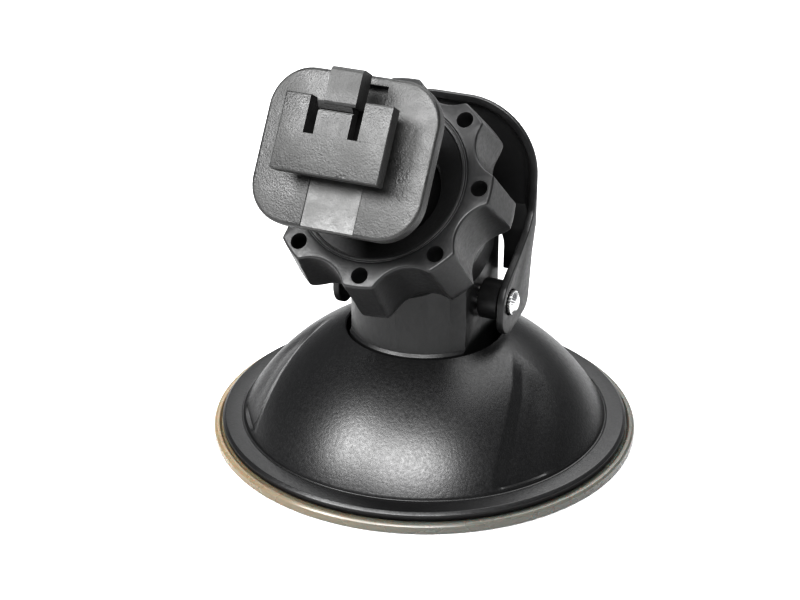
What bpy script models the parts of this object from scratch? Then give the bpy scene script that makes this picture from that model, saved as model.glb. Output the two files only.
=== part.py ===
"""Suction-cup windscreen mount with a cam lever, a lobed clamp knob and a ball-jointed T-lug plate.

All constants are millimetres and the helpers convert them to metres.  +Z is up, X runs along the
lever's pin, and -Y is the front, the side that the mount plate faces.  The origin is the centre of
the suction cup's underside.
"""
from math import asin, atan2, cos, degrees, hypot, pi, radians, sin, sqrt

import bmesh
import bpy
from mathutils import Vector

MM = 0.001
GAP = 0.3                 # clearance between pieces that touch
MERGE = 0.00001           # metres, merge distance of modifiers and welds

# suction cup and its anchor
CUP_R = 29.0
CUP_EDGE = 1.4            # thickness of the rim bead
CUP_SHEET = 1.0           # thickness of the sheet under the dome
CUP_HUB_R = 11.0
CUP_HUB_TOP = 4.0
ANCHOR_R = 8.0
ANCHOR_BOTTOM = 2.3
ANCHOR_TOP = 3.9
SPIGOT_R = 4.2            # anchor's spigot, which enters the post
SPIGOT_TOP = 8.0
SCREW_R = 1.5
SCREW_HEAD_R = 3.0
SCREW_TOP = 14.0

# dome
DOME_HOLE_R = 10.6
DOME_TOP = 15.2
DOME_FOOT_R = 24.75
DOME_ARC_R = 30.0
FLANGE_R = 27.8
FLANGE_TOP = 2.45
SHELL = 1.8
SLEEVE_BOTTOM = 9.0
FLUTE_R = 1.2             # side grooves: a round bar lying on the dome's slope
FLUTE_DEPTH = 0.4
FLUTE_TOP = (14.0, -2.5)  # ends of each groove in plan, for the right-hand side
FLUTE_FOOT = (16.7, -14.5)

# post: an upright column with two flats, and a socket head tilted forwards
POST_R = 10.0
POST_FOOT_R = 10.35       # thicker lower length, which slides in the dome's sleeve
POST_FOOT_TOP = 15.3
POST_BOTTOM = 4.3
POST_TOP = 30.0
POST_FLAT_X = 8.3
PIN_Z = 20.9
PIN_R = 1.6

# socket axis: its origin is the middle of the knob's front face
SOCKET_TILT = 45.0        # degrees above the horizontal
SOCKET_Y = -13.5
SOCKET_Z = 41.1
HEAD_R = 9.9
HEAD_BACK = -19.0
HEAD_SHOULDER = -9.8      # the knob's back face stops just in front of it
HEAD_SHOULDER_R = 11.0
HEAD_FRONT = -3.8
BALL_R = 6.8
BALL_S = -6.0             # ball centre along the socket axis
PAD_R = 4.9
PAD_BACK = -14.1
RING_R = 8.6
RING_HEIGHTS = (0.2, 2.6)  # its ends, measured from the ball centre

# clamp knob
LOBES = 8
LOBE_R = 15.2             # over the lobes at the back; they taper towards the front
LOBE_FRONT_R = 14.3
LOBE_HALF_WIDTH = 1.7
VALLEY_R = 12.3
KNOB_DEPTH = 9.4
KNOB_PHASE = 5.1          # degrees, turn of the first hole from +X at rest
KNOB_HOLE_CIRCLE = 12.7
KNOB_HOLE_R = 1.0
KNOB_HOLE_DEPTH = 4.0
FUNNEL_R = 10.5
LIP_R = 7.0
LIP_BACK = -3.1
LIP_FRONT = -2.6

# cam lever
LEVER_HALF = 12.4         # outer half width
LEVER_WALL = 1.0
LEVER_TOP = 45.5
LEVER_CORNER = 10.0
LEVER_BACK = 10.7
LEVER_PANEL = 1.3
LEVER_PANEL_FOOT = 29.0
LEVER_LIP_X = 8.7         # the panel carries on down each leg as a lip, from here outwards
LEVER_LIP_FOOT = 22.5
BOSS_R = 2.7              # boss inside each leg, round the pin
BOSS_X = 8.6
LEVER_EDGE = 2.4          # rounding between the side walls and the back panel

# ball stud and mount plate, along the stud's own axis from the ball centre
STUD_TILT = 32.0          # degrees above the horizontal
BALL_FLAT = 6.0
NECK_R = 3.3
NECK_FLANGE_R = 5.4
STUD_SPIGOT_R = 2.2
STUD_SPIGOT_END = -2.5
PLATE_FRONT = 18.7
PLATE_THICK = 2.2
PLATE_W = 22.1
PLATE_H = 19.2
PLATE_CORNER = 5.2
PLATE_RISE = 2.1          # plate centre above the stud axis
LUG_W = 13.9
LUG_H = 9.3
LUG_RISE = 0.85           # lug centre above the plate centre
LUG_FRONT = 4.35          # lug face above the plate face
LUG_SLAB = 1.9
WEB_W = 10.6
TONGUE_X = -0.16
TONGUE_W = 4.9
SLOT_W = 1.05
TONGUE_FOOT = 0.9         # foot of the slots above the plate centre
CATCH_TOP = 8.75
CATCH_W = 4.05
CATCH_X = 0.66            # catch centre beside the tongue's centre
CATCH_FOOT = 4.95
CATCH_RISE = 0.8
POCKET_FOOT = 5.8         # pocket in the plate behind the tongue
POCKET_TOP = 8.5
POCKET_RIGHT = 3.8
POCKET_DEEP = 1.5

BLACK = (0.012, 0.012, 0.013, 1.0)


# ---------------------------------------------------------------- helpers

def clear_scene():
    for obj in list(bpy.data.objects):
        bpy.data.objects.remove(obj, do_unlink=True)


def new_collection(name):
    group = bpy.data.collections.new(name)
    bpy.context.scene.collection.children.link(group)
    return group


def finish(name, color, roughness, metallic=0.0, transmission=0.0):
    """A Principled material with one colour."""
    mat = bpy.data.materials.new(name)
    mat.use_nodes = True
    shader = mat.node_tree.nodes["Principled BSDF"]
    shader.inputs["Base Color"].default_value = color
    shader.inputs["Roughness"].default_value = roughness
    shader.inputs["Metallic"].default_value = metallic
    shader.inputs["Transmission Weight"].default_value = transmission
    mat.diffuse_color = color
    return mat


def place(obj, group, parent=None, at=(0, 0, 0), turn=(0, 0, 0)):
    """Link an object, and set its place in millimetres and its turn in degrees."""
    group.objects.link(obj)
    obj.parent = parent
    obj.location = [v * MM for v in at]
    obj.rotation_euler = [radians(v) for v in turn]
    return obj


def empty(name, at, turn=(0, 0, 0)):
    return place(bpy.data.objects.new(name, None), PARTS, None, at, turn)


def dress(obj, material):
    """Give a sub-part its material, or make the object a cutter if it has none."""
    if material is None:
        obj.hide_render = True
        obj.display_type = "WIRE"
    else:
        obj.data.materials.append(material)
    return obj


def turned(name, profile, material=None, closed=False, steps=48, **where):
    """A profile of (radius, height) points swept about local Z; a ring has a closed profile."""
    mesh = bpy.data.meshes.new(name)
    count = len(profile)
    edges = [(i, i + 1) for i in range(count - 1)]
    if closed:
        edges.append((count - 1, 0))
    mesh.from_pydata([(r * MM, 0, z * MM) for r, z in profile], edges, [])
    obj = bpy.data.objects.new(name, mesh)
    screw = obj.modifiers.new("turn", "SCREW")
    screw.axis = "Z"
    screw.angle = 2 * pi
    screw.steps = steps
    screw.render_steps = steps
    screw.use_merge_vertices = True
    screw.merge_threshold = MERGE
    place(obj, CUTTERS if material is None else PARTS, **where)
    return dress(obj, material)


def outline(name, points, thickness, material=None, **where):
    """A flat outline in local XY, extruded by half the thickness each way along local Z."""
    curve = bpy.data.curves.new(name + "_outline", "CURVE")
    curve.dimensions = "2D"
    curve.fill_mode = "BOTH"
    curve.extrude = thickness / 2 * MM
    spline = curve.splines.new("POLY")
    spline.points.add(len(points) - 1)
    for target, (x, y) in zip(spline.points, points):
        target.co = (x * MM, y * MM, 0, 1)
    spline.use_cyclic_u = True
    source = bpy.data.objects.new(name + "_outline", curve)
    CUTTERS.objects.link(source)
    bpy.context.view_layer.update()
    depsgraph = bpy.context.evaluated_depsgraph_get()
    mesh = bpy.data.meshes.new_from_object(source.evaluated_get(depsgraph))
    bpy.data.objects.remove(source, do_unlink=True)
    weld = bmesh.new()
    weld.from_mesh(mesh)
    bmesh.ops.remove_doubles(weld, verts=weld.verts, dist=MERGE)
    bmesh.ops.dissolve_limit(weld, angle_limit=radians(1), verts=weld.verts, edges=weld.edges)
    bmesh.ops.recalc_face_normals(weld, faces=weld.faces)
    weld.to_mesh(mesh)
    weld.free()
    obj = bpy.data.objects.new(name, mesh)
    place(obj, CUTTERS if material is None else PARTS, **where)
    return dress(obj, material)


def box(name, low, high, material=None, **where):
    """A box from its lowest and highest corners in the parent's frame."""
    mesh = bpy.data.meshes.new(name)
    cube = bmesh.new()
    bmesh.ops.create_cube(cube, size=1.0)
    for vert in cube.verts:
        vert.co = [(lo + (hi - lo) * (c + 0.5)) * MM for lo, hi, c in zip(low, high, vert.co)]
    cube.to_mesh(mesh)
    cube.free()
    obj = bpy.data.objects.new(name, mesh)
    place(obj, CUTTERS if material is None else PARTS, **where)
    return dress(obj, material)


def rod(name, radius, low, high, material=None, segments=24, **where):
    """A round bar along local Z from low to high."""
    mesh = bpy.data.meshes.new(name)
    bar = bmesh.new()
    bmesh.ops.create_cone(bar, cap_ends=True, segments=segments, radius1=radius * MM,
                          radius2=radius * MM, depth=(high - low) * MM)
    bmesh.ops.translate(bar, verts=bar.verts, vec=(0, 0, (low + high) / 2 * MM))
    bar.to_mesh(mesh)
    bar.free()
    obj = bpy.data.objects.new(name, mesh)
    place(obj, CUTTERS if material is None else PARTS, **where)
    return dress(obj, material)


def combine(target, tool, operation="DIFFERENCE"):
    modifier = target.modifiers.new(tool.name, "BOOLEAN")
    modifier.operation = operation
    modifier.solver = "EXACT"
    modifier.object = tool


def bevel(obj, width, segments=2, angle=40):
    modifier = obj.modifiers.new("edge", "BEVEL")
    modifier.width = width * MM
    modifier.segments = segments
    modifier.limit_method = "ANGLE"
    modifier.angle_limit = radians(angle)


def arc(cx, cy, radius, start, end, count):
    """Points along a circular arc, angles in degrees, both ends included."""
    steps = [start + (end - start) * i / (count - 1) for i in range(count)]
    return [(cx + radius * cos(radians(a)), cy + radius * sin(radians(a))) for a in steps]


def rounded_rectangle(width, height, radius, centre=(0, 0), count=7):
    x, y = width / 2 - radius, height / 2 - radius
    corners = ((x, y, 0), (-x, y, 90), (-x, -y, 180), (x, -y, 270))
    points = []
    for cx, cy, start in corners:
        points += arc(centre[0] + cx, centre[1] + cy, radius, start, start + 90, count)
    return points


def arc_centre(start, end, radius):
    """Centre of the arc between two profile points that bulges outwards."""
    mid = [(a + b) / 2 for a, b in zip(start, end)]
    dx, dy = end[0] - start[0], end[1] - start[1]
    chord = hypot(dx, dy)
    depth = sqrt(radius * radius - chord * chord / 4)
    return mid[0] + dy / chord * depth, mid[1] - dx / chord * depth


def bulge(start, end, radius, offset, count):
    """Points along that arc, or along its parallel at an offset inwards."""
    cx, cy = arc_centre(start, end, radius)
    first = atan2(start[1] - cy, start[0] - cx)
    last = atan2(end[1] - cy, end[0] - cx)
    angles = [first + (last - first) * i / (count - 1) for i in range(count)]
    return [(cx + (radius - offset) * cos(a), cy + (radius - offset) * sin(a)) for a in angles]


# ---------------------------------------------------------------- base

def make_suction_cup():
    pocket_r = ANCHOR_R + GAP
    profile = [(0, ANCHOR_BOTTOM - GAP), (pocket_r, ANCHOR_BOTTOM - GAP), (pocket_r, CUP_HUB_TOP),
               (CUP_HUB_R, CUP_HUB_TOP), (CUP_HUB_R + 3.0, CUP_SHEET),
               (FLANGE_R + GAP, CUP_SHEET), (FLANGE_R + 0.5, CUP_EDGE), (CUP_R - 0.25, CUP_EDGE),
               (CUP_R, CUP_EDGE - 0.25), (CUP_R, 0.2), (CUP_R - 0.2, 0), (0, 0)]
    return turned("suction_cup", profile, CLEAR_SOFT, steps=60)


def make_cup_anchor():
    bore = SCREW_R + GAP
    head = SCREW_HEAD_R + GAP
    profile = [(bore, SPIGOT_TOP), (SPIGOT_R, SPIGOT_TOP), (SPIGOT_R, ANCHOR_TOP),
               (ANCHOR_R, ANCHOR_TOP), (ANCHOR_R, ANCHOR_BOTTOM), (head, ANCHOR_BOTTOM),
               (head, ANCHOR_BOTTOM + 0.4), (bore, ANCHOR_TOP)]
    return turned("cup_anchor", profile, MOULDED, closed=True)


def make_anchor_screw():
    bottom = ANCHOR_BOTTOM + 0.1
    profile = [(0, SCREW_TOP), (SCREW_R - 0.5, SCREW_TOP - 0.6), (SCREW_R, SCREW_TOP - 1.6),
               (SCREW_R, ANCHOR_TOP), (SCREW_HEAD_R, bottom + 0.4), (SCREW_HEAD_R, bottom),
               (0, bottom)]
    screw = turned("anchor_screw", profile, STEEL, steps=24)
    for name, wide, deep in (("recess_x", 1.8, 0.4), ("recess_y", 0.4, 1.8)):
        combine(screw, box(name, (-wide, -deep, bottom - 1), (wide, deep, bottom + 0.8)))
    return screw


DOME_START = (DOME_HOLE_R + 0.2, DOME_TOP)
DOME_END = (DOME_FOOT_R, FLANGE_TOP + 0.2)


def make_dome_housing():
    outer = bulge(DOME_START, DOME_END, DOME_ARC_R, 0, 13)
    inner = bulge(DOME_START, DOME_END, DOME_ARC_R, SHELL, 10)
    sleeve_r = DOME_HOLE_R + 1.5
    inner = [p for p in reversed(inner) if p[0] > sleeve_r + 0.2 and p[1] > 1.5]
    flange_bottom = CUP_SHEET + GAP
    profile = [(DOME_HOLE_R, DOME_TOP - 0.2)] + outer
    profile += [(DOME_FOOT_R + 0.2, FLANGE_TOP), (FLANGE_R - 0.35, FLANGE_TOP),
                (FLANGE_R, FLANGE_TOP - 0.35), (FLANGE_R, flange_bottom + 0.1),
                (FLANGE_R - 0.1, flange_bottom), (inner[0][0], flange_bottom)]
    profile += inner
    profile += [(sleeve_r, inner[-1][1] + 0.2), (sleeve_r, SLEEVE_BOTTOM),
                (DOME_HOLE_R, SLEEVE_BOTTOM)]
    dome = turned("dome_housing", profile, MOULDED, closed=True, steps=60)
    for side in (-1, 1):
        combine(dome, flute_cutter(side))
    return dome


def flute_cutter(side):
    """A round bar that lies along the dome's slope and bites a shallow groove out of it."""
    cx, cy = arc_centre(DOME_START, DOME_END, DOME_ARC_R)
    ends = []
    for x, y in (FLUTE_TOP, FLUTE_FOOT):
        r = hypot(x, y)
        ends.append(Vector((side * x, y, cy + sqrt(DOME_ARC_R ** 2 - (r - cx) ** 2))))
    middle = (ends[0] + ends[1]) / 2
    run = ends[1] - ends[0]
    r = hypot(middle.x, middle.y)
    rise = Vector((r - cx, middle.z - cy)).normalized()
    outward = Vector((rise.x * middle.x / r, rise.x * middle.y / r, rise.y))
    surface = DOME_ARC_R - hypot(r - cx, middle.z - cy)
    at = middle + outward * (surface + FLUTE_R - FLUTE_DEPTH)
    turn = [degrees(a) for a in run.to_track_quat("Z", "Y").to_euler()]
    return rod(f"flute_{side}", FLUTE_R, -9, 9, segments=24, at=at, turn=turn)


# ---------------------------------------------------------------- post

def sphere_arc(radius, low_r, high_r, count):
    """Lower half-circle points about the ball centre, from low_r to high_r off the axis."""
    first, last = asin(low_r / radius), asin(high_r / radius)
    angles = [first + (last - first) * i / (count - 1) for i in range(count)]
    return [(radius * sin(a), BALL_S - radius * cos(a)) for a in angles]


def make_post(socket):
    column = [(0, POST_TOP), (POST_R, POST_TOP), (POST_R, POST_FOOT_TOP + 0.3),
              (POST_FOOT_R, POST_FOOT_TOP), (POST_FOOT_R, POST_BOTTOM + 0.4),
              (POST_FOOT_R - 0.4, POST_BOTTOM), (0, POST_BOTTOM)]
    post = turned("post", column, MOULDED)
    for side in (-1, 1):
        low, high = sorted((side * POST_FLAT_X, side * 14.0))
        combine(post, box(f"flat_{side}", (low, -14, POST_BOTTOM - 1), (high, 14, POST_TOP + 1)))

    head = [(0, HEAD_FRONT), (HEAD_R, HEAD_FRONT), (HEAD_R, HEAD_SHOULDER),
            (HEAD_SHOULDER_R, HEAD_SHOULDER), (HEAD_SHOULDER_R, HEAD_SHOULDER - 2.5),
            (HEAD_R - 0.3, HEAD_SHOULDER - 4.5), (HEAD_R - 0.3, HEAD_BACK), (0, HEAD_BACK)]
    combine(post, turned("post_head", head, parent=socket), "UNION")
    combine(post, box("post_back", (-14, 6.4, 25.5), (14, 20, 50)))

    socket_r = BALL_R + GAP
    pad_hole = PAD_R + GAP
    cavity = [(0, HEAD_FRONT + 1), (RING_R + GAP, HEAD_FRONT + 1), (RING_R + GAP, BALL_S - 0.1)]
    cavity += list(reversed(sphere_arc(socket_r, pad_hole, socket_r * 0.999, 7)))
    cavity += [(pad_hole, PAD_BACK - GAP), (0, PAD_BACK - GAP)]
    combine(post, turned("post_cavity", cavity, parent=socket))
    combine(post, rod("pin_bore", PIN_R + 0.15, -16, 16, at=(0, 0, PIN_Z), turn=(0, 90, 0)))
    combine(post, rod("spigot_bore", SPIGOT_R + GAP, 0, SPIGOT_TOP + GAP))
    combine(post, rod("screw_bore", SCREW_R + GAP, 0, SCREW_TOP + GAP))
    return post


def make_lever_pin():
    ends = (-LEVER_HALF - 0.5, LEVER_HALF + 0.9)
    edge = 0.35
    profile = [(0, ends[1]), (PIN_R - 0.9, ends[1]), (PIN_R - edge, ends[1] - 0.1),
               (PIN_R, ends[1] - edge), (PIN_R, ends[0] + edge), (PIN_R - edge, ends[0]),
               (0, ends[0])]
    return turned("lever_pin", profile, STEEL, steps=32, at=(0, 0, PIN_Z), turn=(0, 90, 0))


# ---------------------------------------------------------------- cam lever

def arch(half, top, corner, foot):
    """Outline of an upright arch in (x, z), with z measured from the pin."""
    height = top - PIN_Z
    right = arc(half - corner, height - corner, corner, 0, 90, 11)
    left = arc(corner - half, height - corner, corner, 90, 180, 11)
    return right + left + [(-half, foot), (half, foot)]


def lever_side():
    """Side outline in (y, z - pin): the cam foot low down, the thin panel above it."""
    foot = arc(0.0, -1.6, 2.9, 180, 270, 6)
    heel = arc(4.3, -1.2, 2.4, 285, 360, 6)
    back = [(7.6, 4.1), (8.6, 7.2), (LEVER_BACK + 0.1, 10.4), (LEVER_BACK + 0.1, 28.0)]
    front = [(8.4, 28.0), (8.4, 12.6), (7.8, 9.8), (5.9, 7.6), (3.0, 5.5), (0.2, 3.9), (-1.7, 2.6),
             (-2.7, 1.0)]
    return foot + heel + back + front


def lever_hollow():
    """Side outline of the space inside the lever: its back runs just in front of the leg's."""
    back = [(6.5, -20.0), (6.5, -1.2), (7.6, 4.1), (8.6, 7.2), (LEVER_BACK + 0.1, 10.4),
            (LEVER_BACK + 0.1, 30.0)]
    return [(-20.0, -20.0)] + [(y - LEVER_PANEL, z) for y, z in back] + [(-20.0, 30.0)]


def make_cam_lever():
    pivot = (0, 0, PIN_Z)
    depth = 18.0
    middle = LEVER_BACK - depth / 2
    upright, sideways, across = (90, 0, 0), (90, 0, 90), (0, 90, 0)
    inner_half = LEVER_HALF - LEVER_WALL
    lever = outline("cam_lever", arch(LEVER_HALF, LEVER_TOP, LEVER_CORNER, -9.0), depth, MOULDED,
                    at=pivot, turn=upright)
    outline_shift(lever, middle)
    bevel(lever, LEVER_EDGE, 3)
    inner = outline("lever_inside", arch(inner_half, LEVER_TOP - LEVER_WALL,
                                         LEVER_CORNER - LEVER_WALL, -10.0),
                    depth, at=pivot, turn=upright)
    outline_shift(inner, middle - LEVER_PANEL)
    bevel(inner, LEVER_EDGE - LEVER_WALL, 3)
    combine(inner, outline("lever_hollow", lever_hollow(), 40.0, at=pivot, turn=sideways),
            "INTERSECT")
    combine(lever, inner)
    combine(lever, outline("lever_side", lever_side(), 40.0, at=pivot, turn=sideways), "INTERSECT")
    window = outline("lever_window", arch(LEVER_LIP_X, LEVER_PANEL_FOOT, 4.0, -12.0), 12.0,
                     at=pivot, turn=upright)
    outline_shift(window, LEVER_BACK)
    combine(lever, window)
    combine(lever, box("lever_feet", (-inner_half, 3.2, 8.0), (inner_half, 14.0, LEVER_LIP_FOOT)))
    for side in (-1, 1):
        low, high = sorted((side * BOSS_X, side * (LEVER_HALF - LEVER_WALL / 2)))
        combine(lever, rod(f"lever_boss_{side}", BOSS_R, low, high, at=pivot, turn=across), "UNION")
    combine(lever, rod("lever_bore", PIN_R + 0.15, -16, 16, at=pivot, turn=across))
    return lever


def outline_shift(obj, along_y):
    """Move an upright outline's mesh along world Y, and keep its origin on the pin."""
    for vert in obj.data.vertices:
        vert.co.z -= along_y * MM
    return obj


# ---------------------------------------------------------------- socket pieces

def knob_outline():
    """Eight lobes with flat tips, joined by round scallops."""
    half_pitch = pi / LOBES
    tip_angle = atan2(LOBE_HALF_WIDTH, LOBE_R)
    corner_r = sqrt(LOBE_R ** 2 + LOBE_HALF_WIDTH ** 2)
    span = half_pitch - tip_angle
    centre = (corner_r ** 2 - VALLEY_R ** 2) / (2 * (corner_r * cos(span) - VALLEY_R))
    scallop = centre - VALLEY_R
    reach = atan2(corner_r * sin(span), centre - corner_r * cos(span))
    points = []
    for lobe in range(LOBES):
        middle = (2 * lobe + 1) * half_pitch + radians(KNOB_PHASE)
        for i in range(9):
            a = -reach + 2 * reach * i / 8
            x = centre - scallop * cos(a)
            y = scallop * sin(a)
            points.append((x * cos(middle) - y * sin(middle), x * sin(middle) + y * cos(middle)))
    return points


def make_clamp_knob(socket):
    knob = outline("clamp_knob", knob_outline(), KNOB_DEPTH, MOULDED, parent=socket)
    for vert in knob.data.vertices:
        vert.co.z -= KNOB_DEPTH / 2 * MM
    back = -KNOB_DEPTH
    envelope = [(0, 0), (LOBE_FRONT_R - 0.4, 0), (LOBE_FRONT_R, -0.4), (LOBE_R, back + 2.0),
                (LOBE_R - 0.5, back + 0.7), (LOBE_R - 1.6, back), (0, back)]
    combine(knob, turned("knob_envelope", envelope, parent=socket), "INTERSECT")
    bore = [(0, 1), (FUNNEL_R, 1), (FUNNEL_R, -0.15), (LIP_R, LIP_FRONT), (LIP_R, LIP_BACK),
            (HEAD_R + GAP, LIP_BACK), (HEAD_R + GAP, back - 1), (0, back - 1)]
    combine(knob, turned("knob_bore", bore, parent=socket))
    for lobe in range(LOBES):
        angle = 2 * pi * lobe / LOBES + radians(KNOB_PHASE)
        at = (KNOB_HOLE_CIRCLE * cos(angle), KNOB_HOLE_CIRCLE * sin(angle), 0)
        combine(knob, rod(f"knob_core_{lobe}", KNOB_HOLE_R, -KNOB_HOLE_DEPTH, 1, segments=12,
                          parent=socket, at=at))
    return knob


def make_clamp_ring(socket):
    low, high = RING_HEIGHTS
    radius = BALL_R + GAP
    heights = [low + (high - low) * i / 4 for i in range(5)]
    bowl = [(sqrt(radius ** 2 - h ** 2), BALL_S + h) for h in heights]
    profile = [(RING_R, BALL_S + high), (RING_R, BALL_S + low)] + bowl
    ring = turned("clamp_ring", profile, NYLON, closed=True, parent=socket)
    combine(ring, box("ring_split", (-0.8, 0, BALL_S - 2), (0.8, 12, BALL_S + 5), parent=socket))
    return ring


def make_seat_pad(socket):
    bowl = sphere_arc(BALL_R + GAP, 0.0, PAD_R, 8)
    profile = bowl + [(PAD_R, PAD_BACK + 0.3), (PAD_R - 0.3, PAD_BACK), (0, PAD_BACK)]
    return turned("seat_pad", profile, RUBBER, steps=32, parent=socket)


# ---------------------------------------------------------------- ball stud and plate

def make_ball(stud):
    mesh = bpy.data.meshes.new("ball")
    sphere = bmesh.new()
    bmesh.ops.create_uvsphere(sphere, u_segments=28, v_segments=14, radius=BALL_R * MM)
    sphere.to_mesh(mesh)
    sphere.free()
    ball = place(bpy.data.objects.new("ball", mesh), PARTS, stud)
    dress(ball, MOULDED)
    combine(ball, box("ball_flat", (-9, -9, BALL_FLAT), (9, 9, 12), parent=stud))
    combine(ball, rod("ball_bore", STUD_SPIGOT_R + GAP, STUD_SPIGOT_END - GAP, 12, parent=stud))
    return ball


def make_ball_stud(stud):
    top = PLATE_FRONT - PLATE_THICK - GAP
    shoulder = BALL_FLAT + GAP
    flare = [(NECK_R + 1.6 - 1.6 * cos(radians(a)), top - 1.2 - 1.6 + 1.6 * sin(radians(a)))
             for a in (90, 60, 30, 0)]
    profile = [(0, top), (NECK_FLANGE_R, top), (NECK_FLANGE_R, top - 1.2)] + flare
    profile += [(NECK_R, shoulder + 0.3), (NECK_R - 0.3, shoulder), (STUD_SPIGOT_R, shoulder),
                (STUD_SPIGOT_R, STUD_SPIGOT_END + 0.4), (STUD_SPIGOT_R - 0.4, STUD_SPIGOT_END),
                (0, STUD_SPIGOT_END)]
    return turned("ball_stud", profile, MOULDED, steps=32, parent=stud)


def make_mount_plate(stud):
    centre = (0, PLATE_RISE)
    plate = outline("mount_plate", rounded_rectangle(PLATE_W, PLATE_H, PLATE_CORNER, centre),
                    PLATE_THICK, MOULDED, parent=stud)
    for vert in plate.data.vertices:
        vert.co.z += (PLATE_FRONT - PLATE_THICK / 2) * MM
    bevel(plate, 0.3)
    middle = PLATE_RISE + LUG_RISE
    face = PLATE_FRONT + LUG_FRONT
    low, high = middle - LUG_H / 2, middle + LUG_H / 2
    web = box("lug_web", (-WEB_W / 2, low + 0.9, PLATE_FRONT - 1),
              (WEB_W / 2, high - 0.3, face - LUG_SLAB / 2), parent=stud)
    combine(plate, web, "UNION")
    slab = box("lug_slab", (-LUG_W / 2, low, face - LUG_SLAB), (LUG_W / 2, high, face), parent=stud)
    bevel(slab, 0.25)
    combine(plate, slab, "UNION")

    foot = PLATE_RISE + TONGUE_FOOT
    half = TONGUE_W / 2 + SLOT_W
    well = box("tongue_well", (TONGUE_X - half, foot, PLATE_FRONT + 0.6),
               (TONGUE_X + half, high + 6, face + 3), parent=stud)
    combine(plate, well)
    pocket = box("plate_pocket", (TONGUE_X - half, PLATE_RISE + POCKET_FOOT,
                                  PLATE_FRONT - POCKET_DEEP),
                 (POCKET_RIGHT, PLATE_RISE + POCKET_TOP, PLATE_FRONT + 1), parent=stud)
    combine(plate, pocket)
    core = box("lug_core", (-3.4, low - 2, PLATE_FRONT + 0.9), (3.4, low + 2.2, face - LUG_SLAB),
               parent=stud)
    combine(plate, core)
    return plate


def make_latch_tongue(stud):
    """Side outlines in (height over the plate face, distance up the plate)."""
    back, front, raised = LUG_FRONT - 1.5, LUG_FRONT, LUG_FRONT + CATCH_RISE
    foot, end = TONGUE_FOOT + GAP, CATCH_FOOT + 0.1
    arm = [(back, foot), (front, foot), (front, CATCH_FOOT - 1.0), (raised, CATCH_FOOT - 0.2),
           (raised, end), (back, end)]
    catch = [(front - 0.6, end - 1.5), (raised + 0.02, end - 0.7), (raised + 0.02, CATCH_TOP - 0.5),
             (raised - 0.5, CATCH_TOP), (back - 0.4, CATCH_TOP), (back - 0.4, end)]
    hinge_y, hinge_z = PLATE_RISE + TONGUE_FOOT, PLATE_FRONT + LUG_FRONT - 0.75
    sideways = (0, -90, 0)
    shapes = []
    for name, points, width, x, material in (
            ("latch_tongue", arm, TONGUE_W, TONGUE_X, MOULDED),
            ("catch", catch, CATCH_W, TONGUE_X + CATCH_X, None)):
        local = [(w + PLATE_FRONT - hinge_z, v + PLATE_RISE - hinge_y) for w, v in points]
        shape = outline(name, local, width, material, parent=stud, at=(x, hinge_y, hinge_z),
                        turn=sideways)
        bevel(shape, 0.15, 1)
        shapes.append(shape)
    combine(shapes[0], shapes[1], "UNION")
    return shapes[0]


clear_scene()
PARTS = new_collection("windscreen_mount")
CUTTERS = new_collection("cutters")
MOULDED = finish("moulded_black", BLACK, 0.42)
NYLON = finish("nylon", (0.02, 0.02, 0.021, 1.0), 0.45)
RUBBER = finish("rubber", (0.02, 0.02, 0.02, 1.0), 0.8)
STEEL = finish("steel", (0.72, 0.72, 0.73, 1.0), 0.22, metallic=1.0)
CLEAR_SOFT = finish("clear_soft", (0.82, 0.80, 0.72, 1.0), 0.12, transmission=0.85)

SOCKET = empty("socket_axis", (0, SOCKET_Y, SOCKET_Z), (90 - SOCKET_TILT, 0, 0))
BALL_Y = SOCKET_Y - BALL_S * cos(radians(SOCKET_TILT))
BALL_Z = SOCKET_Z + BALL_S * sin(radians(SOCKET_TILT))
STUD = empty("stud_axis", (0, BALL_Y, BALL_Z), (90 - STUD_TILT, 0, 0))

make_suction_cup()
make_cup_anchor()
make_anchor_screw()
make_dome_housing()
make_post(SOCKET)
make_lever_pin()
make_cam_lever()
make_clamp_knob(SOCKET)
make_clamp_ring(SOCKET)
make_seat_pad(SOCKET)
make_ball(STUD)
make_ball_stud(STUD)
make_mount_plate(STUD)
make_latch_tongue(STUD)
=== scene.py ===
"""Studio scene for the suction-cup camera mount: detailed pieces, finishes, light and camera.

Lengths in the constants and profiles are millimetres.  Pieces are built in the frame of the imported
model: +Z is out of the glass, X runs along the lever's pin and -Y is the front.
"""
from math import atan2, cos, hypot, pi, radians, sin, sqrt

import bmesh
import bpy
from mathutils import Matrix, Vector


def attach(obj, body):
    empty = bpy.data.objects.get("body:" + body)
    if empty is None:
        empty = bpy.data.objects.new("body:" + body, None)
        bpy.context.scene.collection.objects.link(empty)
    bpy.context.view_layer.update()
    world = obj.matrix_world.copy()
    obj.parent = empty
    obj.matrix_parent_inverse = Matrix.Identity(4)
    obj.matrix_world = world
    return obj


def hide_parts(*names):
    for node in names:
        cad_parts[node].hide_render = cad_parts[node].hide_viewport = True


MM = 0.001
WORLD = Matrix.Identity(4)
PIN_Z = 20.9               # height of the lever's cross pin
BALL = (0.0, -9.257, 36.857)
SOCKET_TILT = 45
STUD_TILT = 58
FACE = 18.7                # plate's front face along the stud's axis
LUG = FACE + 4.35          # front of the plate's lug
PIN_BORE = 1.75
CUP_R = 29.0
DOME_ARC = 30.0            # radius of the dome's outline
DOME_TOP = (10.8, 15.2)    # (radius, height) of its two ends
DOME_FOOT = (24.75, 2.65)

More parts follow.
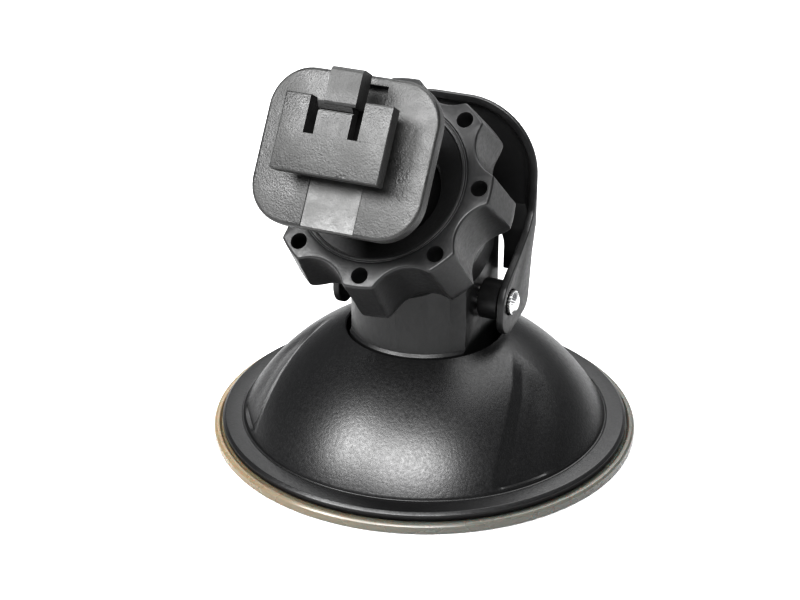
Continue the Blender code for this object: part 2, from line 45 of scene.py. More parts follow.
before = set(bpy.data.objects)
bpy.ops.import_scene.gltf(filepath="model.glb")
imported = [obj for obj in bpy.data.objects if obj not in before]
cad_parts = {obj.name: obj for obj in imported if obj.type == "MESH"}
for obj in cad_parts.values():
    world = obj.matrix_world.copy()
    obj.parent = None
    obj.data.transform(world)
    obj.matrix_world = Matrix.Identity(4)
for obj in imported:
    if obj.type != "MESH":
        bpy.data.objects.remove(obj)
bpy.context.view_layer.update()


def tilted(centre, turn):
    """Frame at a centre whose local Z is turned forwards from vertical by some degrees."""
    return Matrix.Translation(Vector(centre) * MM) @ Matrix.Rotation(radians(turn), 4, "X")


SOCKET = tilted((0, -13.5, 41.1), SOCKET_TILT)
STUD = tilted(BALL, STUD_TILT)
UPRIGHT = tilted((0, 0, PIN_Z), 90)
SIDEWAYS = UPRIGHT @ Matrix.Rotation(radians(90), 4, "Y")
ALONG_X = Matrix.Translation(Vector((0, 0, PIN_Z * MM))) @ Matrix.Rotation(radians(90), 4, "Y")


# ---------------------------------------------------------------- mesh helpers

def arc(cx, cy, radius, start, end, count):
    steps = [start + (end - start) * i / (count - 1) for i in range(count)]
    return [(cx + radius * cos(radians(a)), cy + radius * sin(radians(a))) for a in steps]


def soften(points, radius, count=4, closed=False):
    """Rounds the corners of a path; a third number on a point is its own radius."""
    out = []
    last = len(points)
    for i, point in enumerate(points):
        size = point[2] if len(point) > 2 else radius
        here = Vector(point[:2])
        if not closed and i in (0, last - 1):
            out.append(tuple(here))
            continue
        back = Vector(points[i - 1][:2]) - here
        ahead = Vector(points[(i + 1) % last][:2]) - here
        turn = back.angle(ahead)
        if size <= 0 or turn > radians(176):
            out.append(tuple(here))
            continue
        reach = min(size / max(0.05, sin(turn / 2) / cos(turn / 2)), 0.45 * back.length,
                    0.45 * ahead.length)
        start = here + back.normalized() * reach
        end = here + ahead.normalized() * reach
        for k in range(count + 1):
            t = k / count
            out.append(tuple(start * (1 - t) ** 2 + here * (2 * t * (1 - t)) + end * t * t))
    return out


def to_object(name, bm, matrix):
    bmesh.ops.remove_doubles(bm, verts=bm.verts, dist=1e-7)
    bmesh.ops.recalc_face_normals(bm, faces=bm.faces)
    mesh = bpy.data.meshes.new(name)
    bm.to_mesh(mesh)
    bm.free()
    mesh.transform(matrix)
    obj = bpy.data.objects.new(name, mesh)
    bpy.context.scene.collection.objects.link(obj)
    return obj


def grid(name, rings, matrix, closed=False):
    """Skins rings of points; a ring with one point closes the skin there."""
    bm = bmesh.new()
    made = [[bm.verts.new([c * MM for c in p]) for p in ring] for ring in rings]
    pairs = list(zip(made, made[1:]))
    if closed:
        pairs.append((made[-1], made[0]))
    for low, high in pairs:
        count = max(len(low), len(high))
        for k in range(count):
            j = (k + 1) % count
            corners = [low[k % len(low)], low[j % len(low)], high[j % len(high)],
                       high[k % len(high)]]
            face = list(dict.fromkeys(corners))
            if len(face) > 2:
                bm.faces.new(face)
    return to_object(name, bm, matrix)


def lathe(name, profile, matrix=WORLD, steps=96, closed=False, warp=None):
    """Profile of (radius, height) about local Z; warp moves a point (x, y, z)."""
    rings = []
    for r, z in profile:
        if r < 1e-6:
            rings.append([(0, 0, z)])
            continue
        ring = [(r * cos(2 * pi * k / steps), r * sin(2 * pi * k / steps), z)
                for k in range(steps)]
        rings.append([warp(p) for p in ring] if warp else ring)
    return grid(name, rings, matrix, closed)


def prism(name, points, low, high, matrix=WORLD):
    """Flat outline in local XY from low to high along local Z."""
    bm = bmesh.new()
    bottom = [bm.verts.new((x * MM, y * MM, low * MM)) for x, y in points]
    top = [bm.verts.new((x * MM, y * MM, high * MM)) for x, y in points]
    bm.faces.new(list(reversed(bottom)))
    bm.faces.new(top)
    count = len(points)
    for k in range(count):
        j = (k + 1) % count
        bm.faces.new((bottom[k], bottom[j], top[j], top[k]))
    return to_object(name, bm, matrix)


def block(name, low, high, matrix=WORLD):
    x0, y0, z0 = low
    x1, y1, z1 = high
    return prism(name, [(x0, y0), (x1, y0), (x1, y1), (x0, y1)], z0, z1, matrix)


def settle(obj):
    """Applies the object's modifiers to its mesh."""
    depsgraph = bpy.context.evaluated_depsgraph_get()
    mesh = bpy.data.meshes.new_from_object(obj.evaluated_get(depsgraph))
    obj.modifiers.clear()
    obj.data = mesh
    return obj


def combine(target, tool, operation="DIFFERENCE"):
    modifier = target.modifiers.new("cut", "BOOLEAN")
    modifier.operation = operation
    modifier.solver = "EXACT"
    modifier.object = tool
    settle(target)
    bpy.data.objects.remove(tool, do_unlink=True)
    return target


def round_edges(obj, width, segments=3, angle=32):
    modifier = obj.modifiers.new("round", "BEVEL")
    modifier.width = width * MM
    modifier.segments = segments
    modifier.limit_method = "ANGLE"
    modifier.angle_limit = radians(angle)
    modifier.use_clamp_overlap = False
    return settle(obj)


def smooth(obj, angle=32):
    obj.data.shade_smooth()
    obj.data.set_sharp_from_angle(angle=radians(angle))
    return obj


def piece(obj, body, material, slot, *nodes, angle=32):
    """Finishes a piece: shading, material, and what it rides on and stands for."""
    obj.data.materials.clear()
    obj.data.materials.append(material)
    smooth(obj, angle)
    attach(obj, body)
    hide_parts(*nodes)
    return obj


# ---------------------------------------------------------------- materials

class Graph:
    """Short forms for building a node tree."""

    def __init__(self, name):
        self.material = bpy.data.materials.new(name)
        self.material.use_nodes = True
        self.tree = self.material.node_tree
        self.shader = self.tree.nodes["Principled BSDF"]
        self.coords = self.tree.nodes.new("ShaderNodeTexCoord").outputs["Object"]

    def link(self, source, target):
        self.tree.links.new(source, target)

    def set(self, **values):
        for key, value in values.items():
            self.shader.inputs[key.replace("_", " ")].default_value = value

    def noise(self, scale, detail=3.0, rough=0.5, stretch=None):
        node = self.tree.nodes.new("ShaderNodeTexNoise")
        node.inputs["Scale"].default_value = scale
        node.inputs["Detail"].default_value = detail
        node.inputs["Roughness"].default_value = rough
        source = self.coords
        if stretch:
            mapping = self.tree.nodes.new("ShaderNodeMapping")
            mapping.inputs["Scale"].default_value = stretch
            self.link(self.coords, mapping.inputs["Vector"])
            source = mapping.outputs["Vector"]
        self.link(source, node.inputs["Vector"])
        return node.outputs["Fac"]

    def cells(self, scale):
        node = self.tree.nodes.new("ShaderNodeTexVoronoi")
        node.inputs["Scale"].default_value = scale
        self.link(self.coords, node.inputs["Vector"])
        return node.outputs["Distance"]

    def ramp(self, source, low, high, start=0.3, end=0.7):
        node = self.tree.nodes.new("ShaderNodeMapRange")
        node.inputs["From Min"].default_value = start
        node.inputs["From Max"].default_value = end
        node.inputs["To Min"].default_value = low
        node.inputs["To Max"].default_value = high
        self.link(source, node.inputs["Value"])
        return node.outputs["Result"]

    def math(self, operation, first, second=0.5):
        node = self.tree.nodes.new("ShaderNodeMath")
        node.operation = operation
        for socket, value in zip(node.inputs, (first, second)):
            if isinstance(value, (int, float)):
                socket.default_value = value
            else:
                self.link(value, socket)
        return node.outputs["Value"]

    def blend(self, factor, first, second):
        node = self.tree.nodes.new("ShaderNodeMix")
        node.data_type = "RGBA"
        self.link(factor, node.inputs["Factor"])
        node.inputs["A"].default_value = (*first, 1)
        node.inputs["B"].default_value = (*second, 1)
        return node.outputs["Result"]

    def axis(self, name):
        node = self.tree.nodes.new("ShaderNodeSeparateXYZ")
        self.link(self.coords, node.inputs["Vector"])
        return node.outputs[name]

    def bump(self, height, distance, strength=1.0, before=None):
        node = self.tree.nodes.new("ShaderNodeBump")
        node.inputs["Strength"].default_value = strength
        node.inputs["Distance"].default_value = distance
        self.link(height, node.inputs["Height"])
        if before:
            self.link(before, node.inputs["Normal"])
        return node.outputs["Normal"]

    def dress(self, **outputs):
        for key, source in outputs.items():
            self.link(source, self.shader.inputs[key.replace("_", " ")])
        return self.material


def black_plastic(name, grain, depth, rough_low, rough_high, dark=0.004, light=0.007):
    """Spark-textured black moulding: fine pits, slow waves and faint rub marks."""
    g = Graph(name)
    pits = g.noise(grain, 4.0, 0.6)
    waves = g.noise(110.0, 2.0)
    rubs = g.noise(420.0, 5.0, 0.7, stretch=(1.0, 0.35, 1.0))
    rub_mask = g.ramp(rubs, 0.0, 1.0, 0.60, 0.74)
    fine = g.bump(pits, depth * MM)
    slow = g.bump(waves, 0.10 * MM, 0.25, fine)
    rough = g.math("ADD", g.ramp(pits, rough_low, rough_high), g.math("MULTIPLY", rub_mask, -0.05))
    return g.dress(Base_Color=g.blend(rubs, (dark, dark, dark * 1.04), (light, light, light * 1.03)),
                   Roughness=rough, Normal=slow)


def plate_plastic():
    """Sparkle over slow flow marks, with a smoother strip low down on the plate's face whose base
    colour is also painted lighter, a painted sheen.
    """
    g = Graph("plate_plastic")
    lean = radians(STUD_TILT)
    up_plate = g.math("ADD", g.math("MULTIPLY", g.axis("Y"), cos(lean)),
                      g.math("MULTIPLY", g.axis("Z"), sin(lean)))
    out_plate = g.math("ADD", g.math("MULTIPLY", g.axis("Y"), -sin(lean)),
                       g.math("MULTIPLY", g.axis("Z"), cos(lean)))
    foot = (BALL[1] * cos(lean) + BALL[2] * sin(lean) - 0.85) * MM
    near = (BALL[2] * cos(lean) - BALL[1] * sin(lean) + FACE + 0.5) * MM
    low_face = g.math("MULTIPLY", g.math("LESS_THAN", up_plate, foot),
                      g.math("LESS_THAN", out_plate, near))
    strip = g.math("MULTIPLY", g.math("LESS_THAN", g.math("ABSOLUTE", g.axis("X")), 3.45 * MM),
                   low_face)
    pits = g.noise(5200.0, 3.0, 0.65)
    flecks = g.cells(3600.0)
    waves = g.noise(190.0, 4.0, 0.6)
    grain = g.math("ADD", pits, g.math("MULTIPLY", flecks, 0.5))
    height = g.math("MULTIPLY", grain, g.ramp(strip, 1.0, 0.3, 0.0, 1.0))
    fine = g.bump(height, 0.034 * MM)
    slow = g.bump(waves, 0.30 * MM, 0.4, fine)
    rough = g.math("SUBTRACT", g.ramp(waves, 0.30, 0.56), g.math("MULTIPLY", strip, 0.05))
    # The strip adds 0.3 of tone: a painted sheen on the smoother strip. The slow waves are random
    # flow marks.
    tone = g.math("ADD", g.ramp(waves, 0.0, 0.6), g.math("MULTIPLY", strip, 0.3))
    return g.dress(Base_Color=g.blend(tone, (0.008, 0.008, 0.008), (0.034, 0.034, 0.033)),
                   Roughness=rough, Normal=slow)


def steel():
    g = Graph("drawn_steel")
    g.set(Metallic=1.0)
    streaks = g.noise(900.0, 3.0, 0.6, stretch=(0.05, 1.0, 1.0))
    return g.dress(Base_Color=g.blend(streaks, (0.62, 0.62, 0.63), (0.80, 0.80, 0.79)),
                   Roughness=g.ramp(streaks, 0.16, 0.30),
                   Normal=g.bump(streaks, 0.006 * MM))


def clear_soft():
    """Soft clear plastic with an amber tint, painted lighter and more amber towards -X: painted
    light on the side of its rim that faces the lamps.
    """
    g = Graph("clear_soft")
    g.set(IOR=1.45, Transmission_Weight=0.12, Subsurface_Weight=0.25, Subsurface_Scale=0.002)
    # Painted light: the base colour is lighter and warmer towards -X, where the lamps light the rim;
    # the mottle is random tone.
    painted_side_light = g.ramp(g.axis("X"), 1.0, 0.0, -0.020, 0.012)
    mottle = g.noise(260.0, 3.0)
    tone = g.math("MULTIPLY", painted_side_light, g.ramp(mottle, 0.94, 1.06))
    return g.dress(Base_Color=g.blend(tone, (0.085, 0.085, 0.075), (0.16, 0.13, 0.085)),
                   Roughness=g.ramp(mottle, 0.22, 0.34), Normal=g.bump(mottle, 0.004 * MM))


def nylon():
    g = Graph("black_nylon")
    mottle = g.noise(600.0, 3.0)
    return g.dress(Base_Color=g.blend(mottle, (0.010, 0.010, 0.010), (0.020, 0.020, 0.020)),
                   Roughness=g.ramp(mottle, 0.42, 0.56), Normal=g.bump(mottle, 0.01 * MM))


def rubber():
    g = Graph("black_rubber")
    pits = g.noise(2600.0, 3.0)
    return g.dress(Base_Color=g.blend(pits, (0.015, 0.015, 0.015), (0.028, 0.028, 0.028)),
                   Roughness=g.ramp(pits, 0.68, 0.82), Normal=g.bump(pits, 0.02 * MM))


SATIN = black_plastic("satin_black", 2600.0, 0.022, 0.30, 0.42)
SMOOTH = black_plastic("smooth_black", 1800.0, 0.010, 0.34, 0.46)
KNOB = black_plastic("knob_black", 2200.0, 0.016, 0.36, 0.50, 0.006, 0.010)
PLATE = plate_plastic()
STEEL = steel()
CLEAR = clear_soft()
NYLON = nylon()
RUBBER = rubber()


# ---------------------------------------------------------------- base

def make_cup():
    profile = [(0, 2.0), (8.3, 2.0), (8.3, 4.0), (11.0, 4.0), (14.0, 1.0), (28.0, 1.0),
               (28.25, 1.38), (28.72, 1.40), (CUP_R, 1.12), (CUP_R, 0.30), (28.75, 0.0),
               (26.6, 0.0), (26.4, 0.12), (25.4, 0.12), (25.2, 0.0), (0, 0.0)]
    cup = lathe("cup", soften(profile, 0.22, 5), steps=288)
    piece(cup, "base", CLEAR, "clear_soft", "suction_cup", angle=40)


# The crease on each side of the dome, as (y, distance from the middle plane), front to back.
CREASE = ((0.0, 12.6), (-1.0, 13.2), (-6.0, 15.3), (-11.0, 16.35), (-16.0, 16.95), (-20.0, 17.2))
CREASE_DEEP = 0.50
FACET = 1.5                # width of the slope beside the crease
FAR = 99.0


def dome_centre():
    """Centre of the dome's arc, from its top edge and its foot."""
    start, end = Vector(DOME_TOP), Vector(DOME_FOOT)
    run = end - start
    painted_side_light = Vector((run.y, -run.x)).normalized()
    return (start + end) / 2 + painted_side_light * sqrt(DOME_ARC ** 2 - run.length ** 2 / 4)


def crease_x(y):
    """How far out the crease runs at some y."""
    for (y0, x0), (y1, x1) in zip(CREASE, CREASE[1:]):
        if y1 <= y <= y0:
            return x0 + (x1 - x0) * (y - y0) / (y1 - y0)
    return FAR


def ease(t):
    """Smooth step from 0 to 1."""
    t = min(1.0, max(0.0, t))
    return t * t * (3 - 2 * t)


def make_dome():
    centre = dome_centre()
    first = atan2(DOME_TOP[1] - centre.y, DOME_TOP[0] - centre.x)
    last = atan2(DOME_FOOT[1] - centre.y, DOME_FOOT[0] - centre.x)
    rows = 84
    outer = [(centre.x + DOME_ARC * cos(first + (last - first) * i / rows),
              centre.y + DOME_ARC * sin(first + (last - first) * i / rows))
             for i in range(rows + 1)]
    flange = [(24.80, 2.42), (25.0, 2.36), (25.2, 2.45), (27.40, 2.45), (27.8, 2.10),
              (27.8, 1.45), (27.6, 1.3), (22.6, 1.3)]
    inner = [(22.0, 2.9), (19.0, 7.2), (16.0, 10.0), (12.2, 12.6), (12.1, 9.0), (10.6, 9.0),
             (10.6, 14.9)]
    profile = soften([(10.62, 15.05)] + outer[1:2], 0.1)[:1] + outer
    profile += soften([outer[-1]] + flange + inner + [profile[0]], 0.16, 4)[1:-1]

    def warp(p):
        """Sinks the outer skin beyond each crease, fading out towards its ends and the back."""
        x, y, z = p
        r = hypot(x, y)
        if r < 12.9 or r > 24.6 or z < 2.7 or y > 0:
            return p
        shell = hypot(r - centre.x, z - centre.y)
        if abs(shell - DOME_ARC) > 0.05:
            return p
        beyond = abs(x) - crease_x(y)
        if beyond <= 0:
            return p
        fade = ease(-y / 5.0) * ease((y + 18.5) / 3.5)
        back = 1 - ease((beyond - 3.2) / 4.5)
        drop = CREASE_DEEP * fade * back * min(1.0, beyond / FACET)
        nx, nz = (r - centre.x) / shell, (z - centre.y) / shell
        return (x - nx * drop * x / r, y - nx * drop * y / r, z - nz * drop)

    dome = lathe("dome", profile, steps=576, closed=True, warp=warp)
    piece(dome, "base", SATIN, "moulded_black", "dome_housing", angle=40)


# ---------------------------------------------------------------- post and lever

def pin_bore():
    return lathe("bore", [(0, 16), (PIN_BORE, 16), (PIN_BORE, -16), (0, -16)], ALONG_X, 48)


def make_post():
    column = soften([(0, 30.0), (10.0, 30.0), (10.0, 15.62), (10.35, 15.28), (10.35, 4.6),
                     (10.0, 4.3), (0, 4.3)], 0.16, 4)
    post = lathe("column", column, steps=144)
    for side in (-1, 1):
        low, high = sorted((side * 8.3, side * 14.0))
        combine(post, block("flat", (low, -14, 3), (high, 14, 31)))
    head = [(0, -3.8), (9.9, -3.8), (9.9, -9.8), (11.0, -9.8), (11.0, -12.3), (9.6, -14.3),
            (9.6, -19.0), (0, -19.0)]
    combine(post, lathe("head", soften(head, 0.3), SOCKET, 128), "UNION")
    combine(post, block("back", (-14, 6.4, 25.5), (14, 20, 50)))
    bowl = [(8.9, -2.8), (8.9, -6.1)] + arc(0, BOWL_S, BOWL_R, -1, -47, 18)
    bowl += [(5.2, -10.8), (5.2, -14.4), (0, -14.4)]
    combine(post, lathe("bowl", [(0, -2.8)] + bowl, SOCKET, 128))
    combine(post, pin_bore())
    combine(post, lathe("well", [(0, 14.3), (1.8, 14.3), (1.8, 8.3), (4.5, 8.3), (4.5, 3), (0, 3)],
                        steps=48))
    round_edges(post, 0.12, 2, 40)
    piece(post, "post", SMOOTH, "moulded_black", "post")


def make_pin():
    """Drawn pin with a domed end that is ribbed where it stands out of the lever."""
    profile = [(0, 13.45), (0.5, 13.42), (0.95, 13.28), (1.25, 13.08), (1.42, 12.92), (1.60, 12.86),
               (1.60, 12.5), (1.56, 12.4), (1.56, 11.0), (1.55, -12.2), (1.60, -12.3),
               (1.60, -12.6), (1.35, -12.8), (0.8, -12.9), (0, -12.92)]

    def ribs(p):
        x, y, z = p
        if not 12.45 < z < 13.2 and not z < -12.25:
            return p
        r = hypot(x, y)
        if r < 1.2:
            return p
        swell = 1 + 0.028 * cos(22 * atan2(y, x))
        return (x * swell, y * swell, z)

    pin = lathe("pin", profile, ALONG_X, 176, warp=ribs)
    piece(pin, "post", STEEL, "steel", "lever_pin", angle=50)


def arch(half, top, corner, foot):
    """Outline with a round-cornered top, in (x, z - pin)."""
    height = top - PIN_Z
    right = arc(half - corner, height - corner, corner, 0, 90, 19)
    left = arc(corner - half, height - corner, corner, 90, 180, 19)
    return right + left + [(-half, foot), (half, foot)]


LEVER_HALF = 12.4
LEVER_INSIDE = 11.4


def lever_side():
    """Side outline in (y, z - pin): the cam foot low down, the thin panel above it."""
    foot = arc(0.0, -1.6, 2.9, 180, 270, 12)
    heel = arc(4.3, -1.2, 2.4, 285, 360, 12)
    back = [(7.6, 4.1), (8.6, 7.2), (10.8, 10.4), (10.8, 28.0)]
    front = [(8.4, 28.0), (8.4, 12.8), (7.8, 9.8), (5.9, 7.6), (3.0, 5.5), (0.2, 3.9),
             (-1.7, 2.6), (-2.7, 1.0)]
    return foot + heel + soften([heel[-1]] + back + front + [foot[0]], 3.0, 6)[1:-1]


def lever_hollow():
    """Side outline of the space inside the lever, ending a wall's thickness before its back."""
    back = [(6.3, -14.0), (6.3, -1.2), (6.3, 4.1), (7.3, 7.2), (9.5, 10.4), (9.5, 30.0)]
    return soften([(-14.0, -14.0)] + back + [(-14.0, 30.0)], 2.0, 6)


def make_lever():
    """Bent from an arch: a rounded outside, a dished inside, then the side outline."""
    lever = prism("lever", arch(LEVER_HALF, 45.5, 10.0, -9.0), -10.7, 7.3, UPRIGHT)
    round_edges(lever, 2.4, 8, 60)
    inner = prism("inside", arch(LEVER_INSIDE, 44.5, 9.0, -10.0), -9.4, 9.0, UPRIGHT)
    round_edges(inner, 1.4, 6, 60)
    combine(inner, prism("hollow", lever_hollow(), -20, 20, SIDEWAYS), "INTERSECT")
    combine(lever, inner)
    combine(lever, prism("side", lever_side(), -20, 20, SIDEWAYS), "INTERSECT")
    combine(lever, prism("window", arch(8.7, 29.0, 4.0, -12.0), -14, -4.7, UPRIGHT))
    combine(lever, block("feet", (-LEVER_INSIDE, 3.2, 8.0), (LEVER_INSIDE, 14.0, 22.5)))
    for side in (-1, 1):
        low, high = sorted((side * 8.6, side * 11.9))
        boss = lathe("boss", [(0, low), (2.7, low), (2.7, high), (0, high)], ALONG_X, 64)
        combine(lever, boss, "UNION")
    combine(lever, pin_bore())
    round_edges(lever, 0.18, 3, 42)
    piece(lever, "lever", SMOOTH, "moulded_black", "cam_lever", angle=36)


# ---------------------------------------------------------------- clamp knob and socket pieces

LOBES = 8
PHASE = radians(5.1)       # first lobe, from the socket's X
COLUMNS = 576              # mesh columns round the knob
VALLEY = 12.3              # radius at the bottom of a scallop
TIP_R, TIP_HALF = 15.2, 1.7
FRONT_R = 14.32
FRONT_EDGE = 0.35
BACK_START, BACK_DEEP, BACK_ROUND = -7.5, 1.9, 1.5
HOLE_RING = 12.7


def scallop_shape():
    """Distance of a scallop's centre from the axis, and its radius."""
    corner = hypot(TIP_R, TIP_HALF)
    span = pi / LOBES - atan2(TIP_HALF, TIP_R)
    centre = (corner ** 2 - VALLEY ** 2) / (2 * (corner * cos(span) - VALLEY))
    return centre, centre - VALLEY


def knob_radius(angle, limit, blend=0.45):
    """Radius of the lobed outline at an angle, held under a limit with a rounded corner."""
    centre, scallop = scallop_shape()
    pitch = 2 * pi / LOBES
    off = (angle - PHASE) % pitch - pitch / 2
    inside = scallop ** 2 - (centre * sin(off)) ** 2
    free = centre * cos(off) - sqrt(inside) if inside > 0 else FAR
    step = max(blend - abs(free - limit), 0.0) / blend
    return min(free, limit) - step * step * blend / 4


def make_knob():
    def circle(r, s):
        return [(r * cos(2 * pi * k / COLUMNS), r * sin(2 * pi * k / COLUMNS), s)
                for k in range(COLUMNS)]

    def lobed(limit, s, inset=0.0):
        ring = []
        for k in range(COLUMNS):
            a = 2 * pi * k / COLUMNS
            r = knob_radius(a, limit) - inset
            ring.append((r * cos(a), r * sin(a), s))
        return ring

    bore = soften([(10.2, -9.4), (10.2, -3.1), (7.0, -3.1), (7.0, -2.6), (10.20, -0.30),
                   (10.34, 0.08), (10.72, 0.08), (10.80, -0.14), (10.96, -0.14), (11.08, 0.0),
                   (11.5, 0.0)], 0.10, 3)
    rings = [circle(r, s) for r, s in bore]
    for k in range(5):
        a = radians(90 * k / 4)
        rings.append(lobed(FRONT_R, -FRONT_EDGE * (1 - cos(a)), FRONT_EDGE * (1 - sin(a))))
    for k in range(1, 13):
        s = -FRONT_EDGE + (BACK_START + FRONT_EDGE) * k / 12
        rings.append(lobed(FRONT_R + (TIP_R - FRONT_R) * k / 12, s))
    for k in range(1, 9):
        a = radians(90 * k / 8)
        fall = BACK_ROUND * (1 - cos(a))
        rings.append(lobed(TIP_R - fall, BACK_START - BACK_DEEP * sin(a), 0.3 * fall))
    knob = grid("knob", rings, SOCKET, closed=True)
    hole = [(0, 0.5), (1.35, 0.5), (1.0, -0.12), (1.0, -3.8), (0.8, -4.0), (0, -4.0)]
    for lobe in range(LOBES):
        a = 2 * pi * lobe / LOBES + PHASE
        at = SOCKET @ Matrix.Translation(
            Vector((HOLE_RING * cos(a), HOLE_RING * sin(a), 0)) * MM)
        combine(knob, lathe("hole", hole, at, 40))
    piece(knob, "knob", KNOB, "moulded_black", "clamp_knob", angle=34)


BOWL_R, BOWL_S = 7.1, -6.0     # socket's bowl: radius, and its centre along the socket's axis
BALL_R = 6.8


def make_socket_pieces():
    """The split ring and the pad, both hollowed to the ball."""
    low, high = -5.8, -3.4
    bowl = [(sqrt(BOWL_R ** 2 - (s - BOWL_S) ** 2), s)
            for s in [low + (high - low) * i / 12 for i in range(13)]]
    ring = lathe("ring", soften([(8.6, high), (8.6, low)], 0.1) + bowl, SOCKET, 144, closed=True)
    combine(ring, block("split", (-0.8, 0, -8), (0.8, 12, -1), SOCKET))
    piece(round_edges(ring, 0.1, 2, 40), "ring", NYLON, "nylon", "clamp_ring")
    seat = [(BOWL_R * sin(radians(a)), BOWL_S - BOWL_R * cos(radians(a)))
            for a in range(0, 44, 3)]
    seat += soften([(4.9, -11.2), (4.9, -14.1), (0, -14.1)], 0.3)
    piece(lathe("seat", seat, SOCKET, 96), "seat", RUBBER, "rubber", "seat_pad")


# ---------------------------------------------------------------- ball, stud, plate, tongue

def make_ball():
    profile = [(BALL_R * sin(radians(a)), -BALL_R * cos(radians(a))) for a in range(0, 152, 3)]
    profile += soften([profile[-1], (3.2, 6.0), (2.5, 6.0), (2.5, -2.8), (0, -2.8)], 0.15)[1:]
    piece(lathe("ball", profile, STUD, 144), "ball", SMOOTH, "moulded_black", "ball")


def make_stud():
    flare = arc(4.9, 13.4, 1.6, 90, 180, 12)
    profile = [(0, 16.2), (5.4, 16.2), (5.4, 15.0)] + flare
    profile += [(3.3, 6.6), (3.0, 6.3), (2.2, 6.3), (2.2, -2.1), (1.8, -2.5), (0, -2.5)]
    piece(lathe("stud", soften(profile, 0.15), STUD, 128), "plate", SMOOTH, "moulded_black",
          "ball_stud")


def rounded_rectangle(width, height, radius, cy=0.0, count=15):
    x, y = width / 2 - radius, height / 2 - radius
    points = []
    for sx, sy, start in ((1, 1, 0), (-1, 1, 90), (-1, -1, 180), (1, -1, 270)):
        points += arc(sx * x, cy + sy * y, radius, start, start + 90, count)
    return points


def make_plate():
    """Plate, web and lug, with the tongue's well and pocket, a raised strip and four hairlines."""
    plate = prism("plate", rounded_rectangle(22.1, 19.2, 5.2, 2.1), FACE - 2.2, FACE, STUD)
    round_edges(plate, 0.42, 4, 50)
    combine(plate, block("web", (-5.3, -0.8, FACE - 1), (5.3, 7.3, LUG - 1), STUD), "UNION")
    slab = prism("slab", [(-6.95, -1.7), (6.95, -1.7), (6.95, 7.6), (-6.95, 7.6)], LUG - 1.9, LUG,
                 STUD)
    round_edges(slab, 0.18, 3, 60)
    combine(plate, slab, "UNION")
    combine(plate, block("well", (-3.66, 3.0, FACE + 0.6), (3.34, 13.9, LUG + 3), STUD))
    combine(plate, block("pocket", (-3.66, 7.9, FACE - 1.5), (3.8, 10.6, FACE + 1), STUD))
    combine(plate, block("core", (-3.4, -3.7, FACE + 0.9), (3.4, 0.5, LUG - 1.9), STUD))
    strip = block("strip", (-3.4, -7.3, FACE - 0.4), (3.5, -0.85, FACE + 0.04), STUD)
    combine(plate, strip, "UNION")
    for low, high in (((-3.48, -7.4, FACE - 0.12), (-3.36, -0.85, FACE + 0.3)),
                      ((-7.5, 2.97, LUG - 0.03), (-3.5, 3.03, LUG + 0.3)),
                      ((3.2, 2.97, LUG - 0.03), (7.5, 3.03, LUG + 0.3)),
                      ((7.9, 2.2, FACE - 0.04), (11.6, 2.27, FACE + 0.3))):
        combine(plate, block("line", low, high, STUD))
    piece(plate, "plate", PLATE, "moulded_black", "mount_plate", angle=36)


def make_tongue():
    """Spring arm between the slots, grooved before its ramp, and the catch block at its end."""
    middle = Vector((-0.16, 2.1, FACE)) * MM
    local = STUD @ Matrix.Translation(middle) @ Matrix.Rotation(radians(-90), 4, "Y")
    arm = [(2.85, 0.91, 0), (4.35, 0.91, 0), (4.35, 3.84), (4.02, 3.88, 0), (4.02, 3.98, 0),
           (4.35, 4.04), (5.12, 4.75, 0.2), (5.12, 4.95), (2.85, 4.95)]
    tongue = prism("tongue", soften(arm, 0.08, 3, True), -2.2, 2.2, local)
    catch = [(3.4, 4.55), (5.05, 4.55), (5.15, 4.9), (5.15, 8.7, 0.4), (4.7, 9.1, 0.4),
             (2.45, 9.1), (2.45, 4.9)]
    wedge = prism("catch", soften(catch, 0.12, 3, True), -2.69, 1.36, local)
    combine(tongue, wedge, "UNION")
    piece(tongue, "latch", PLATE, "moulded_black", "latch_tongue", angle=36)


def dress_hidden_nodes():
    """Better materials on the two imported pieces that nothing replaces."""
    for name, material in (("anchor_screw", STEEL), ("cup_anchor", SMOOTH)):
        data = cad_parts[name].data
        data.materials.clear()
        data.materials.append(material)


make_cup()
make_dome()
make_post()
make_pin()
make_lever()
make_knob()
make_socket_pieces()
make_ball()
make_stud()
make_plate()
make_tongue()
dress_hidden_nodes()


# ---------------------------------------------------------------- studio

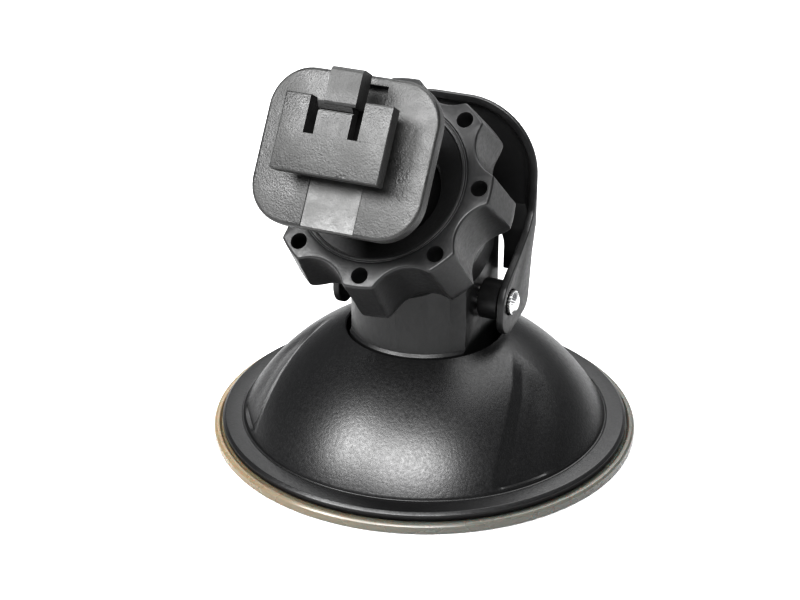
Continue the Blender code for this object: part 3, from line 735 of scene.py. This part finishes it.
LIT = (0, 0, 0.02)         # what the lights aim at, in metres
FLOOR_HALF = 6.0
FLOOR_DROP = 0.00002       # keeps the floor just off the cup's underside


def add_light(name, direction, distance, wide, tall, power):
    """Rectangular softbox that faces the object from a direction; sizes in metres."""
    data = bpy.data.lights.new(name, "AREA")
    data.shape = "RECTANGLE"
    data.size = wide
    data.size_y = tall
    data.energy = power
    light = bpy.data.objects.new(name, data)
    bpy.context.scene.collection.objects.link(light)
    light.location = Vector(LIT) + Vector(direction).normalized() * distance
    light.rotation_euler = Vector(direction).to_track_quat("Z", "Y").to_euler()


def make_floor():
    mesh = bpy.data.meshes.new("floor")
    side = FLOOR_HALF
    mesh.from_pydata([(-side, -side, 0), (side, -side, 0), (side, side, 0), (-side, side, 0)], [],
                     [(0, 1, 2, 3)])
    floor = bpy.data.objects.new("floor", mesh)
    floor.location.z = -FLOOR_DROP
    bpy.context.scene.collection.objects.link(floor)
    g = Graph("floor")
    g.set(Roughness=0.6)
    wash = g.noise(3.0, 2.0)
    mesh.materials.append(g.dress(Base_Color=g.blend(wash, (0.58, 0.58, 0.58), (0.62, 0.62, 0.62))))


def make_world():
    world = bpy.data.worlds.new("studio")
    world.use_nodes = True
    background = world.node_tree.nodes["Background"]
    background.inputs["Color"].default_value = (0.95, 0.97, 1.0, 1)
    background.inputs["Strength"].default_value = 0.30
    bpy.context.scene.world = world


def make_camera():
    data = bpy.data.cameras.new("camera")
    data.lens = 84.15
    data.sensor_width = 36.0
    data.clip_start = 0.01
    camera = bpy.data.objects.new("camera", data)
    camera.location = Vector((90.97, -207.66, 128.78)) * MM
    camera.rotation_euler = (radians(64.1), 0, radians(24.5))
    bpy.context.scene.collection.objects.link(camera)
    bpy.context.scene.camera = camera


make_floor()
make_world()
make_camera()
add_light("key", (0.16, -0.72, 0.70), 0.55, 0.40, 0.20, 8.0)
add_light("left", (-0.46, -0.66, 0.70), 0.55, 0.20, 0.22, 4.6)
add_light("top", (0.0, 0.55, 1.0), 1.7, 1.9, 1.9, 62.0)
view = bpy.context.scene.view_settings
view.view_transform = "Standard"
view.gamma = 0.72          # deepens the blacks
